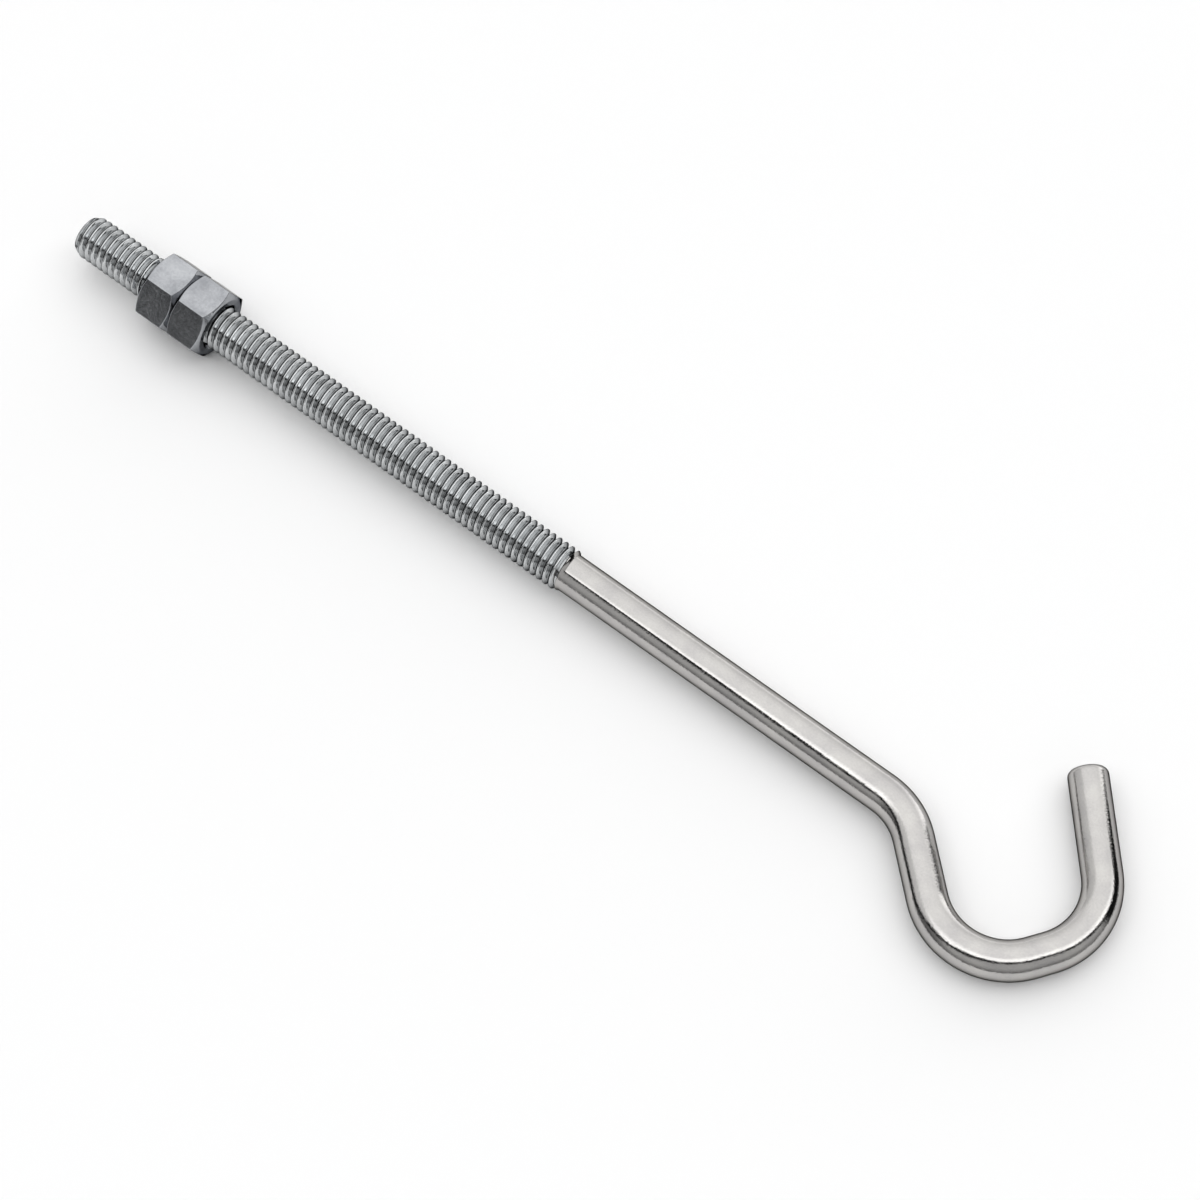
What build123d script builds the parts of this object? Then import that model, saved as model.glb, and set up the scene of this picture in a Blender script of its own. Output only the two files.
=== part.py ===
"""Hook bolt: a round bar, rolled with a long thread at one end and bent to an open hook at
the other, with two hexagon nuts run up against each other on the thread.

The bolt lies on its side, as it comes to rest on a table. The origin is the middle of the
threaded end, +X runs along the shank towards the hook, and the hook lies in the XY plane.
The bar first bends towards -Y, and its tip comes back up on the +Y side.
"""
from build123d import *
from math import radians, tan
import os

# Bar and hook, in millimetres and degrees
overall_length = 256.0      # threaded end to the far side of the hook
bar_diameter = 8.25         # the plain bar, near the size that the thread is rolled from
bend_radius = 15.3          # every bend is made round the same former, measured to the bar's middle
neck_turn = 42.4            # away from the shank's line
neck_length = 12.5          # straight bar between the shank's bend and the bowl
bowl_turn = 96.7            # first bend of the bowl
bowl_length = 3.7           # short straight at the bottom of the bowl
tip_turn = 77.7             # second bend of the bowl
tip_length = 21.8           # straight bar up to the open end
tip_edge_radius = 1.5       # the sheared end, tumbled smooth

# Thread, drawn as the cylinder over its crests
thread_diameter = 9.53      # three-eighths of an inch
thread_length = 126.4       # full thread; its run-out comes after it
thread_pitch = 1.5875       # sixteen turns to the inch
lead_in_depth = 0.85        # the starting chamfer goes almost to the thread's root
lead_in_angle = 28.0        # from the axis
run_out_length = 0.8 * thread_pitch

# Nuts
nut_across_flats = 14.35
nut_thickness = 8.4
nut_face_diameter = 13.2    # flat ring left by the corner chamfers
nut_chamfer_angle = 30.0    # the corner chamfers, from the face
nut_clearance = 0.05        # bore over the thread's crests, on the radius
nut_countersink = 0.35      # at both mouths of the bore
nut_seam = 27.75            # threaded end to the plane where the two nuts meet
inner_nut_turn = 22.7       # one corner's angle from the top, towards -Y
outer_nut_turn = 23.1

bar_radius = bar_diameter / 2
thread_radius = thread_diameter / 2
lead_in_length = lead_in_depth / tan(radians(lead_in_angle))
corner_radius = nut_across_flats / 3 ** 0.5
bore_radius = thread_radius + nut_clearance


def bent_bar(start):
    """The middle line of the bends, from the end of the straight shank to the hook's tip."""
    with BuildLine() as middle:
        shank_bend = JernArc((start, 0), (1, 0), bend_radius, -neck_turn)
        neck = Line(shank_bend @ 1, shank_bend @ 1 + neck_length * (shank_bend % 1))
        bowl_bend = JernArc(neck @ 1, neck % 1, bend_radius, bowl_turn)
        bowl = Line(bowl_bend @ 1, bowl_bend @ 1 + bowl_length * (bowl_bend % 1))
        tip_bend = JernArc(bowl @ 1, bowl % 1, bend_radius, tip_turn)
        Line(tip_bend @ 1, tip_bend @ 1 + tip_length * (tip_bend % 1))
    return middle.line


# The bends are laid out once at zero, to learn how far the hook reaches past the shank.
hook_reach = bent_bar(0).bounding_box().max.X + bar_radius
shank_end = overall_length - hook_reach

os.makedirs("parts", exist_ok=True)

# The bar: turned outline of thread and shank first, then the bends swept on from its end.
with BuildPart() as hook_rod:
    with BuildSketch(Plane.XY):
        with BuildLine():
            Polyline(
                (0, 0),
                (0, thread_radius - lead_in_depth),
                (lead_in_length, thread_radius),
                (thread_length, thread_radius),
                (thread_length + run_out_length, bar_radius),
                (shank_end, bar_radius),
                (shank_end, 0),
                close=True,
            )
        make_face()
    revolve(axis=Axis.X)
    hook_line = bent_bar(shank_end)
    with BuildSketch(Plane(origin=hook_line @ 0, z_dir=hook_line % 0)):
        Circle(bar_radius)
    sweep(path=hook_line)
    tip_face = hook_rod.faces().sort_by_distance(hook_line @ 1)[0]
    fillet(tip_face.edges(), tip_edge_radius)

# Nuts: a hexagon bar cut to length, both faces turned to a ring, drilled and countersunk.
for nut_name, nut_start, nut_turn in (
    ("outer_nut", nut_seam - nut_thickness, outer_nut_turn),
    ("inner_nut", nut_seam, inner_nut_turn),
):
    nut_end = nut_start + nut_thickness
    face_radius = nut_face_diameter / 2
    chamfer_drop = (corner_radius - face_radius) * tan(radians(nut_chamfer_angle))
    with BuildPart() as nut:
        with BuildSketch(Plane(origin=(nut_start, 0, 0), x_dir=(0, 1, 0), z_dir=(1, 0, 0))):
            RegularPolygon(corner_radius, 6, rotation=90 + nut_turn)
        extrude(amount=nut_thickness)
        with BuildSketch(Plane.XY):
            with BuildLine():
                Polyline(
                    (nut_start, 0),
                    (nut_start, face_radius),
                    (nut_start + chamfer_drop, corner_radius),
                    (nut_end - chamfer_drop, corner_radius),
                    (nut_end, face_radius),
                    (nut_end, 0),
                    close=True,
                )
            make_face()
        revolve(axis=Axis.X, mode=Mode.INTERSECT)
        with BuildSketch(Plane(origin=(nut_start, 0, 0), x_dir=(0, 1, 0), z_dir=(1, 0, 0))):
            Circle(bore_radius)
        extrude(amount=nut_thickness, mode=Mode.SUBTRACT)
        chamfer(nut.edges().filter_by(GeomType.CIRCLE).sort_by(SortBy.RADIUS)[:2], nut_countersink)
    nut.part.label = nut_name
    export_step(nut.part, f"parts/{nut_name}.step")

hook_rod.part.label = "hook_rod"
export_step(hook_rod.part, "parts/hook_rod.step")
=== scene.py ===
from math import ceil, cos, pi, radians, sin, tan

import bpy
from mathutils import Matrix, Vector


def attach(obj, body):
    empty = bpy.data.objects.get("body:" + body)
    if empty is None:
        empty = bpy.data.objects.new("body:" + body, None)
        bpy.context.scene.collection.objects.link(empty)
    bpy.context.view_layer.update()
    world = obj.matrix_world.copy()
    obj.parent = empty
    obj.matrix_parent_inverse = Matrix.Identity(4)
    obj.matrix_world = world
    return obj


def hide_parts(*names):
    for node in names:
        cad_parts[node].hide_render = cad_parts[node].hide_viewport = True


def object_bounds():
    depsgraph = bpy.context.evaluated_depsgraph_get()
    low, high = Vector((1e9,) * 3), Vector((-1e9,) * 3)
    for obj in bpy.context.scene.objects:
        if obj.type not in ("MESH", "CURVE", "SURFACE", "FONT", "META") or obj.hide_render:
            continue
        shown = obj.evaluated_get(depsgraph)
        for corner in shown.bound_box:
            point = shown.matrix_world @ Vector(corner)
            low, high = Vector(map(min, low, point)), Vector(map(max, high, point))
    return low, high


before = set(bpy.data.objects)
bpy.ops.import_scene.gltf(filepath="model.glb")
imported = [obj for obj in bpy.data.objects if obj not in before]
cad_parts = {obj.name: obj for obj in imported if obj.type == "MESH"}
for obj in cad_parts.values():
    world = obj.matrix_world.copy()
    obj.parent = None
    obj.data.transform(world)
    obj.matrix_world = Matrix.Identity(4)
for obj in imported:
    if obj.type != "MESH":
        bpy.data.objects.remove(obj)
cad_low, cad_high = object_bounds()


# THE HOOK ROD
# One round steel bar. Its front half carries a three-eighths inch thread, rolled on, so its
# crests stand a little proud of the bar. The other end is bent cold round a former into a
# neck, a bowl and a short straight tip. The whole rod is then plated with bright zinc.

MM = 0.001
bar_radius = 4.125 * MM
bend_radius = 15.3 * MM
neck_turn = radians(42.4)
neck_length = 12.5 * MM
bowl_turn = radians(96.7)
bowl_length = 3.7 * MM
tip_turn = radians(77.7)
tip_length = 21.8 * MM
tip_edge = 1.5 * MM
sides_round = 64
bend_step = radians(2.5)
smooth_below = radians(38)

crest_radius = 4.765 * MM
pitch = 1.5875 * MM
thread_length = 126.4 * MM
root_round = 0.18 * pitch
crest_flat = pitch / 6
crest_edge = ((-0.03, 0.055), (0.012, 0.012))  # along from the shoulder and down, in pitches
steps_per_turn = 48
thread_start_angle = radians(-82)
lead_in_angle = radians(28)
lead_in_depth = 0.85 * MM


def deselect():
    bpy.ops.object.select_all(action="DESELECT")


def edit(piece, kind="VERT", wanted=None):
    """Opens a piece in edit mode, with the points, edges or faces selected that wanted says."""
    deselect()
    bpy.context.view_layer.objects.active = piece
    piece.select_set(True)
    bpy.ops.object.mode_set(mode="EDIT")
    bpy.ops.mesh.select_mode(type=kind)
    bpy.ops.mesh.select_all(action="DESELECT" if wanted else "SELECT")
    if wanted:
        bpy.ops.object.mode_set(mode="OBJECT")
        parts = {"VERT": "vertices", "EDGE": "edges", "FACE": "polygons"}[kind]
        for part in getattr(piece.data, parts):
            part.select = wanted(part)
        bpy.ops.object.mode_set(mode="EDIT")


def done():
    """Closes edit mode."""
    bpy.ops.object.mode_set(mode="OBJECT")


def drawn_line(name, points):
    """A line of points: one point set down, then extruded to each next one."""
    deselect()
    bpy.ops.mesh.primitive_plane_add(size=pitch, location=(0, 0, 0))
    piece = bpy.context.active_object
    piece.name = name
    edit(piece)
    bpy.ops.mesh.merge(type="CENTER")
    bpy.ops.transform.translate(value=(*points[0], 0))
    for here, there in zip(points, points[1:]):
        step = (there[0] - here[0], there[1] - here[1], 0)
        bpy.ops.mesh.extrude_vertices_move(TRANSFORM_OT_translate={"value": step})
    done()
    return piece


def apply(piece, kind, **settings):
    """Adds a modifier with its settings, and applies it."""
    deselect()
    bpy.context.view_layer.objects.active = piece
    piece.select_set(True)
    bpy.ops.object.modifier_add(type=kind)
    modifier = piece.modifiers[-1]
    for name, value in settings.items():
        setattr(modifier, name, value)
    bpy.ops.object.modifier_apply(modifier=modifier.name)


def merge_and_close(piece):
    """Merges doubled points, and turns every face outwards."""
    edit(piece)
    bpy.ops.mesh.remove_doubles(threshold=0.002 * MM)
    bpy.ops.mesh.normals_make_consistent(inside=False)
    done()


def turned(name, outline):
    """A solid turned about the rod's line from an outline of (along, out) points."""
    piece = drawn_line(name, outline)
    apply(
        piece, "SCREW", axis="X", angle=2 * pi, screw_offset=0,
        steps=sides_round, render_steps=sides_round, use_merge_vertices=False,
    )
    merge_and_close(piece)
    return piece


def threaded(name, start, end, radius):
    """A right-hand 60-degree thread as a solid rod, cut square at start and end."""
    flank = radians(60)
    shoulder = (pitch - crest_flat) / 2
    foot = root_round * sin(flank)
    root = radius - (shoulder - foot) * tan(flank) - root_round * (1 - cos(flank))
    half = [
        (root_round * sin(bend), root + root_round * (1 - cos(bend)))
        for bend in (0, flank / 2, flank)
    ]
    half += [(shoulder + along * pitch, radius - down * pitch) for along, down in crest_edge]
    other = [(pitch - along, out) for along, out in reversed(half)]
    first = start - 2 * pitch - (start - 2 * pitch) % pitch
    line = half + [(pitch / 2, radius)] + other
    piece = drawn_line(name, [(first + along, out) for along, out in line])
    edit(piece)
    bpy.ops.transform.rotate(
        value=-thread_start_angle, orient_axis="X", center_override=(0, 0, 0)
    )
    done()
    turns = ceil((end - first) / pitch) + 2
    apply(
        piece, "SCREW", axis="X", angle=2 * pi, screw_offset=pitch, iterations=turns,
        steps=steps_per_turn, render_steps=steps_per_turn, use_merge_vertices=False,
    )
    merge_and_close(piece)
    for place, beyond in ((start, True), (end, False)):
        edit(piece)
        bpy.ops.mesh.bisect(
            plane_co=(place, 0, 0), plane_no=(1, 0, 0), use_fill=True,
            clear_inner=beyond, clear_outer=not beyond, threshold=1e-7,
        )
        done()
    merge_and_close(piece)
    return piece


def combine(piece, tool, operation):
    """Cuts, joins or meets a piece with a tool, and takes the tool away."""
    apply(piece, "BOOLEAN", object=tool, operation=operation, solver="EXACT")
    bpy.data.objects.remove(tool)


def bent_bar(name, start):
    """The plain bar from start, with the hook's three bends and its rounded tip."""
    reach = 2 * bend_radius * sin(neck_turn) + neck_length * cos(neck_turn)
    reach += bowl_length * cos(bowl_turn - neck_turn) + bend_radius + bar_radius
    shank_end = cad_high.x - reach
    deselect()
    bpy.ops.mesh.primitive_circle_add(
        vertices=sides_round, radius=bar_radius, location=(start, 0, 0), rotation=(0, pi / 2, 0)
    )
    piece = bpy.context.active_object
    piece.name = name
    bpy.ops.object.transform_apply(location=True, rotation=True, scale=True)
    edit(piece, "EDGE")
    place, heading = Vector((start, 0, 0)), 0
    runs = [(0, shank_end - start), (-neck_turn, neck_length)]
    runs += [(bowl_turn, bowl_length), (tip_turn, tip_length)]
    for turn, length in runs:
        if turn:
            across = Vector((-sin(heading), cos(heading), 0)) * bend_radius
            centre = place + across * (1 if turn > 0 else -1)
            bpy.ops.mesh.spin(
                steps=ceil(abs(turn) / bend_step), angle=-turn, center=centre, axis=(0, 0, 1)
            )
            heading += turn
            across = Vector((-sin(heading), cos(heading), 0)) * bend_radius
            place = centre - across * (1 if turn > 0 else -1)
        step = Vector((cos(heading), sin(heading), 0)) * length
        bpy.ops.mesh.extrude_edges_move(TRANSFORM_OT_translate={"value": step})
        place += step
    bpy.ops.mesh.edge_face_add()
    bpy.ops.mesh.bevel(offset=tip_edge, segments=5, affect="EDGES")
    done()
    edit(piece, "EDGE", lambda edge: all(
        abs(piece.data.vertices[i].co.x - start) < 1e-6 for i in edge.vertices
    ))
    bpy.ops.mesh.edge_face_add()
    done()
    merge_and_close(piece)
    return piece


def past_thread(turns):
    """A place along the rod, so many turns past the end of the full thread."""
    return thread_length + turns * pitch


# The rolled thread is cut to the outline of its blank: a chamfer leads in at the end, and at the
# other end the crests fade away over one turn. A cone inside fills the roots there.
spare = 0.5 * MM
tuck = 0.02 * MM
blank_radius = crest_radius + spare
lead_in_end = (lead_in_depth + spare) / tan(lead_in_angle)
hook_rod = threaded("hook_rod_plated", -0.5 * pitch, past_thread(1.2), crest_radius)
blank = turned("blank", [
    (0, 0),
    (0, crest_radius - lead_in_depth),
    (lead_in_end, blank_radius),
    (past_thread(-0.4), blank_radius),
    (past_thread(0.1), crest_radius - 0.1 * MM),
    (past_thread(0.8), bar_radius - 0.05 * MM),
    (past_thread(0.8), 0),
])
combine(hook_rod, blank, "INTERSECT")
fading_root = turned("fading_root", [
    (past_thread(-1.6), 0),
    (past_thread(-1.6), bar_radius - spare),
    (past_thread(0.2), bar_radius - tuck),
    (past_thread(0.6), bar_radius - tuck),
    (past_thread(0.6), 0),
])
combine(hook_rod, fading_root, "UNION")
combine(hook_rod, bent_bar("bent_bar", past_thread(0.25)), "UNION")
merge_and_close(hook_rod)
deselect()
hook_rod.select_set(True)
bpy.context.view_layer.objects.active = hook_rod
bpy.ops.object.shade_smooth_by_angle(angle=smooth_below)


def linear(hex_colour):
    """An sRGB hex colour as the linear red, green, blue and alpha that a shader takes."""
    levels = [int(hex_colour[i:i + 2], 16) / 255 for i in (1, 3, 5)]
    return *(((c + 0.055) / 1.055) ** 2.4 if c > 0.04 else c / 12.92 for c in levels), 1


def add_node(tree, kind, settings=None, inputs=None):
    """Adds a node with its settings, and gives its inputs a value or another node's output."""
    made = tree.nodes.new("ShaderNode" + kind)
    for name, value in (settings or {}).items():
        setattr(made, name, value)
    for name, source in (inputs or {}).items():
        if isinstance(source, bpy.types.NodeSocket):
            tree.links.new(source, made.inputs[name])
        else:
            made.inputs[name].default_value = source
    return made


steel_clouds = 5
edge_tint = "#262626"


def per_mm(size):
    """The noise scale that gives features of a size in millimetres."""
    return 1 / (size * MM)


def zinc_plate(name, pale, dark, rough, grain, grain_depth, sway_depth, painted_root_shade=None):
    """Bright zinc plate: a pale grey mirror, broken by the fine crystals of the plate and by
    the slight unevenness of the steel under it. The grain is that of the crystals, in
    millimetres, drawn at least ten times coarser than real, so that it shows. The steel's
    unevenness lies in wider clouds. A root colour, where given, is painted into the bottom
    of a thread as painted shade. The edge tint keeps the plate from glaring where it is seen
    almost edge-on."""
    material = bpy.data.materials.new(name)
    material.use_nodes = True
    tree = material.node_tree
    tree.nodes.clear()
    place = add_node(tree, "TexCoord").outputs["Object"]
    grain_noise = add_node(
        tree, "TexNoise", None,
        {"Vector": place, "Scale": per_mm(grain), "Detail": 3.0, "Roughness": 0.6},
    ).outputs["Fac"]
    cloud = add_node(
        tree, "TexNoise", None,
        {"Vector": place, "Scale": per_mm(steel_clouds), "Detail": 2.0, "Roughness": 0.5},
    ).outputs["Fac"]
    both = add_node(
        tree, "Math", {"operation": "MULTIPLY_ADD"}, {0: grain_noise, 1: 0.5, 2: cloud}
    ).outputs[0]
    shade = add_node(
        tree, "MapRange", None, {"Value": both, "From Min": 0.5, "From Max": 1.0}
    ).outputs["Result"]
    colour = add_node(
        tree, "Mix", {"data_type": "RGBA"}, {0: shade, 6: linear(dark), 7: linear(pale)}
    ).outputs[2]
    # Painted shade: the bottom of the thread's groove is darkened towards the given root colour,
    # by distance from the rod's line.
    if painted_root_shade:
        across = add_node(tree, "VectorMath", {"operation": "MULTIPLY"}, {0: place, 1: (0, 1, 1)})
        radius = add_node(tree, "VectorMath", {"operation": "LENGTH"}, {0: across.outputs[0]})
        clear_of_root_shade = add_node(
            tree, "MapRange", None,
            {"Value": radius.outputs["Value"], "From Min": crest_radius - 0.6 * pitch,
             "From Max": crest_radius - 0.4 * pitch},
        ).outputs["Result"]
        colour = add_node(
            tree, "Mix", {"data_type": "RGBA"}, {0: clear_of_root_shade, 6: linear(painted_root_shade), 7: colour}
        ).outputs[2]
    roughness = add_node(
        tree, "MapRange", None,
        {"Value": grain_noise, "From Min": 0.3, "From Max": 0.7,
         "To Min": rough * 0.8, "To Max": rough * 1.25},
    ).outputs["Result"]
    sway = add_node(
        tree, "Bump", None,
        {"Strength": 1.0, "Distance": sway_depth * MM, "Height": cloud},
    ).outputs["Normal"]
    grains = add_node(
        tree, "Bump", None,
        {"Strength": 1.0, "Distance": grain_depth * MM, "Height": grain_noise, "Normal": sway},
    ).outputs["Normal"]
    shader = add_node(
        tree, "BsdfPrincipled", None,
        {"Base Color": colour, "Metallic": 1.0, "Roughness": roughness,
         "Normal": grains, "Specular Tint": linear(edge_tint)},
    )
    add_node(tree, "OutputMaterial", None, {"Surface": shader.outputs["BSDF"]})
    return material


# The bar is drawn through a die, so its plate is close to a mirror, a little warm in tone. In the
# thread's roots a darker colour is painted in as painted shade, while the rolled crests stay
# bright.
bar_zinc = zinc_plate(
    "bright_zinc_on_drawn_bar", "#BCBAB7", "#ADABAA", rough=0.07,
    grain=0.4, grain_depth=0.028, sway_depth=0.03,
)
# The dark root colour given here is painted shade in the thread's grooves.
thread_zinc = zinc_plate(
    "bright_zinc_on_rolled_thread", "#CFD1D2", "#B2B4B5", rough=0.10,
    grain=0.4, grain_depth=0.010, sway_depth=0.0, painted_root_shade="#4E5052",
)
end_face = 0.01 * MM
hook_rod.data.materials.clear()
hook_rod.data.materials.append(bar_zinc)
hook_rod.data.materials.append(thread_zinc)
for face in hook_rod.data.polygons:
    on_thread = end_face < face.center.x < past_thread(0.2)
    face.material_index = 1 if on_thread else 0

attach(hook_rod, "hook_rod")
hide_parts("hook_rod")


# THE NUTS
# Two plain hexagon nuts, pressed from steel, turned off at both faces and plated like the
# rod. Each is tapped right through with the rod's thread and countersunk at both mouths. They
# are run on from the threaded end and locked against each other.

across_flats = 14.35 * MM
nut_thickness = 8.4 * MM
face_radius = 6.6 * MM
face_angle = radians(30)
seam = 27.75 * MM
mouth_radius = 5.35 * MM
bore_radius = 4.0 * MM
thread_play = 0.09 * MM
edge_round = 0.14 * MM
nut_smooth_below = radians(33)
nut_turns = {"outer_nut": radians(23.1), "inner_nut": radians(22.7)}
first_corner = radians(30)
corner_radius = across_flats / 3 ** 0.5
ring_radius = corner_radius + MM
ring_inset = (ring_radius - face_radius) * tan(face_angle)
mouth_depth = mouth_radius - bore_radius

deselect()
bpy.ops.mesh.primitive_cylinder_add(
    vertices=6, radius=corner_radius, depth=nut_thickness + MM,
    location=(nut_thickness / 2, 0, 0), rotation=(0, pi / 2, 0),
)
plain_nut = bpy.context.active_object
plain_nut.name = "plain_nut"
bpy.ops.object.transform_apply(location=True, rotation=True, scale=True)
combine(plain_nut, turned("turned_faces", [
    (0, mouth_radius),
    (0, face_radius),
    (ring_inset, ring_radius),
    (nut_thickness - ring_inset, ring_radius),
    (nut_thickness, face_radius),
    (nut_thickness, mouth_radius),
    (nut_thickness - mouth_depth, bore_radius),
    (mouth_depth, bore_radius),
    (0, mouth_radius),
]), "INTERSECT")
merge_and_close(plain_nut)

# The edges of the hexagon and of its chamfers are rounded a little, but not those of the bore.
edit(plain_nut, "EDGE")
bpy.ops.mesh.select_all(action="DESELECT")
bpy.ops.mesh.edges_select_sharp(sharpness=radians(20))
done()
for edge in plain_nut.data.edges:
    ends = [plain_nut.data.vertices[i].co for i in edge.vertices]
    edge.select = edge.select and all(end.yz.length > face_radius - 0.1 * MM for end in ends)
bpy.ops.object.mode_set(mode="EDIT")
bpy.ops.mesh.bevel(offset=edge_round, segments=2, affect="EDGES")
done()

# A pressed nut is not polished by a die, so its plate is a little duller and greyer.
nut_zinc = zinc_plate(
    "bright_zinc_on_pressed_nut", "#AEB0B3", "#8A8C90", rough=0.13,
    grain=0.6, grain_depth=0.014, sway_depth=0.008,
)
for name, turn in nut_turns.items():
    nut = plain_nut.copy()
    nut.data = plain_nut.data.copy()
    nut.name = name + "_plated"
    bpy.context.scene.collection.objects.link(nut)
    start = seam if name == "inner_nut" else seam - nut_thickness
    deselect()
    bpy.context.view_layer.objects.active = nut
    nut.select_set(True)
    nut.location = (start, 0, 0)
    nut.rotation_euler = (turn - first_corner, 0, 0)
    bpy.ops.object.transform_apply(location=True, rotation=True, scale=True)
    tap = threaded("tap", start - pitch, start + nut_thickness + pitch, crest_radius + thread_play)
    combine(nut, tap, "DIFFERENCE")
    merge_and_close(nut)
    deselect()
    bpy.context.view_layer.objects.active = nut
    nut.select_set(True)
    bpy.ops.object.shade_smooth_by_angle(angle=nut_smooth_below)
    apply(nut, "WEIGHTED_NORMAL", mode="FACE_AREA", weight=100, keep_sharp=True)
    nut.data.materials.clear()
    nut.data.materials.append(nut_zinc)
    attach(nut, name)
    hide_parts(name)
bpy.data.objects.remove(plain_nut)


# THE TABLE
# A plain white table. The bolt lies on it on its nuts' lowest corner and on the outside of the
# hook, so the table slopes by under a degree against the bolt's own line.

table_width = 60
hook_touch = (251.9 * MM, -bar_radius)
nut_touch = (30 * MM, -7.65 * MM)
slope = (hook_touch[1] - nut_touch[1]) / (hook_touch[0] - nut_touch[0])

deselect()
bpy.ops.mesh.primitive_plane_add(
    size=table_width, location=(hook_touch[0], 0, hook_touch[1]), rotation=(0, -slope, 0)
)
table = bpy.context.active_object
table.name = "table"

# A matt lacquer mirrors nothing, so the table shows only the bolt's soft shadow.
material = bpy.data.materials.new("matt_white_lacquer")
material.use_nodes = True
tree = material.node_tree
tree.nodes.clear()
lacquer = add_node(
    tree, "BsdfPrincipled", None, {"Base Color": linear("#F4F4F4"), "Roughness": 0.9,
                                   "Specular IOR Level": 0.0},
)
add_node(tree, "OutputMaterial", None, {"Surface": lacquer.outputs[0]})
table.data.materials.append(material)


# THE STUDIO
# A tent of white cloth round the table. A sheet stands behind and another hangs overhead, with
# its rim brightest, and a dimmer one stands in front. The camera looks in through the dark slot
# between the last two, and the tent is open at its right corner.

world = bpy.data.worlds.new("studio")
bpy.context.scene.world = world
world.use_nodes = True
tree = world.node_tree
tree.nodes.clear()
towards = add_node(tree, "TexCoord").outputs["Generated"]
dark = 0.012


def pointing(around, up=0):
    """A direction from the table: degrees round to the right from the front, and degrees up."""
    around, up = radians(around), radians(up)
    return Vector((sin(around) * cos(up), -cos(around) * cos(up), sin(up)))


def brightness(*grades):
    """The product of several grades over the tent. Each goes softly from a first level to a last
    one while the share of the direction along an axis goes from a start to an end."""
    level = 1.0
    for axis, start, end, first, last in grades:
        share = add_node(
            tree, "VectorMath", {"operation": "DOT_PRODUCT"}, {0: towards, 1: axis}
        ).outputs["Value"]
        grade = add_node(
            tree, "MapRange", {"interpolation_type": "SMOOTHSTEP"},
            {"Value": share, "From Min": start, "From Max": end, "To Min": first, "To Max": last},
        ).outputs["Result"]
        level = add_node(tree, "Math", {"operation": "MULTIPLY"}, {0: level, 1: grade}).outputs[0]
    return level


straight_up = pointing(0, 90)
back_sheet = brightness((pointing(-156), -0.04, 0.04, 0, 1), (pointing(-110), -0.03, 0.03, 0, 1))
right_corner = brightness(
    (pointing(-152), -0.04, 0.04, 0, 1), (pointing(68), -0.03, 0.03, 0, 1),
    (straight_up, 0.50, 0.58, 1, 0),
)
front_sheet = brightness(
    (pointing(26), -0.08, 0.08, 0, 1), (pointing(72), -0.1, 0.1, 0.55, 1),
    (straight_up, -0.05, 0.5, 0.20, 0.62),
)

# The overhead sheet is round, and hangs tilted back to the left. Its rim sags in front.
sag = brightness((pointing(-15), 0.45, 0.75, 0, 0.09))
off_middle = add_node(
    tree, "VectorMath", {"operation": "DOT_PRODUCT"}, {0: towards, 1: pointing(-136.9, 51.95)}
).outputs["Value"]
inside = add_node(tree, "Math", {"operation": "ADD"}, {0: off_middle, 1: sag}).outputs[0]
slot = add_node(
    tree, "MapRange", {"interpolation_type": "SMOOTHSTEP"},
    {"Value": inside, "From Min": 0.25, "From Max": 0.28},
).outputs["Result"]
roof = add_node(
    tree, "MapRange", {"interpolation_type": "SMOOTHSTEP"},
    {"Value": inside, "From Min": 0.44, "From Max": 0.47},
).outputs["Result"]
rim_front = add_node(
    tree, "MapRange", None,
    {"Value": inside, "From Min": 0.45, "From Max": 0.72, "To Min": 2.1, "To Max": 1.05},
).outputs["Result"]
rim_left = brightness((pointing(-60), 0.42, 0.75, 2.1, 0.8))
rim = add_node(tree, "Math", {"operation": "MINIMUM"}, {0: rim_front, 1: rim_left}).outputs[0]
upward = brightness((straight_up, -0.1, 1.1, 0.95, 1.42))
cloth = add_node(tree, "Math", {"operation": "MULTIPLY"}, {0: rim, 1: upward}).outputs[0]

level = front_sheet
for cover, glow in ((slot, dark), (roof, cloth), (right_corner, dark), (back_sheet, cloth)):
    level = add_node(tree, "Mix", None, {0: cover, 2: level, 3: glow}).outputs[0]
sky = add_node(tree, "Background", None, {"Color": linear("#FFFFFF"), "Strength": level})
add_node(tree, "OutputWorld", None, {"Surface": sky.outputs[0]})


# THE CAMERA
# It stands in front and high above the bolt, a little to the hook's side, and looks down on it
# steeply through a long lens.

camera_back = Vector((0.2518, -0.3262, 0.9111))
camera_data = bpy.data.cameras.new("camera")
camera_data.sensor_width = 36
camera_data.lens = 110.14
camera_data.clip_start = 0.05
camera = bpy.data.objects.new("camera", camera_data)
bpy.context.scene.collection.objects.link(camera)
camera.location = (0.3200, -0.2396, 0.6663)
camera.rotation_mode = "QUATERNION"
camera.rotation_quaternion = (-camera_back).to_track_quat("-Z", "Y")
bpy.context.scene.camera = camera
bpy.context.scene.view_settings.view_transform = "Standard"
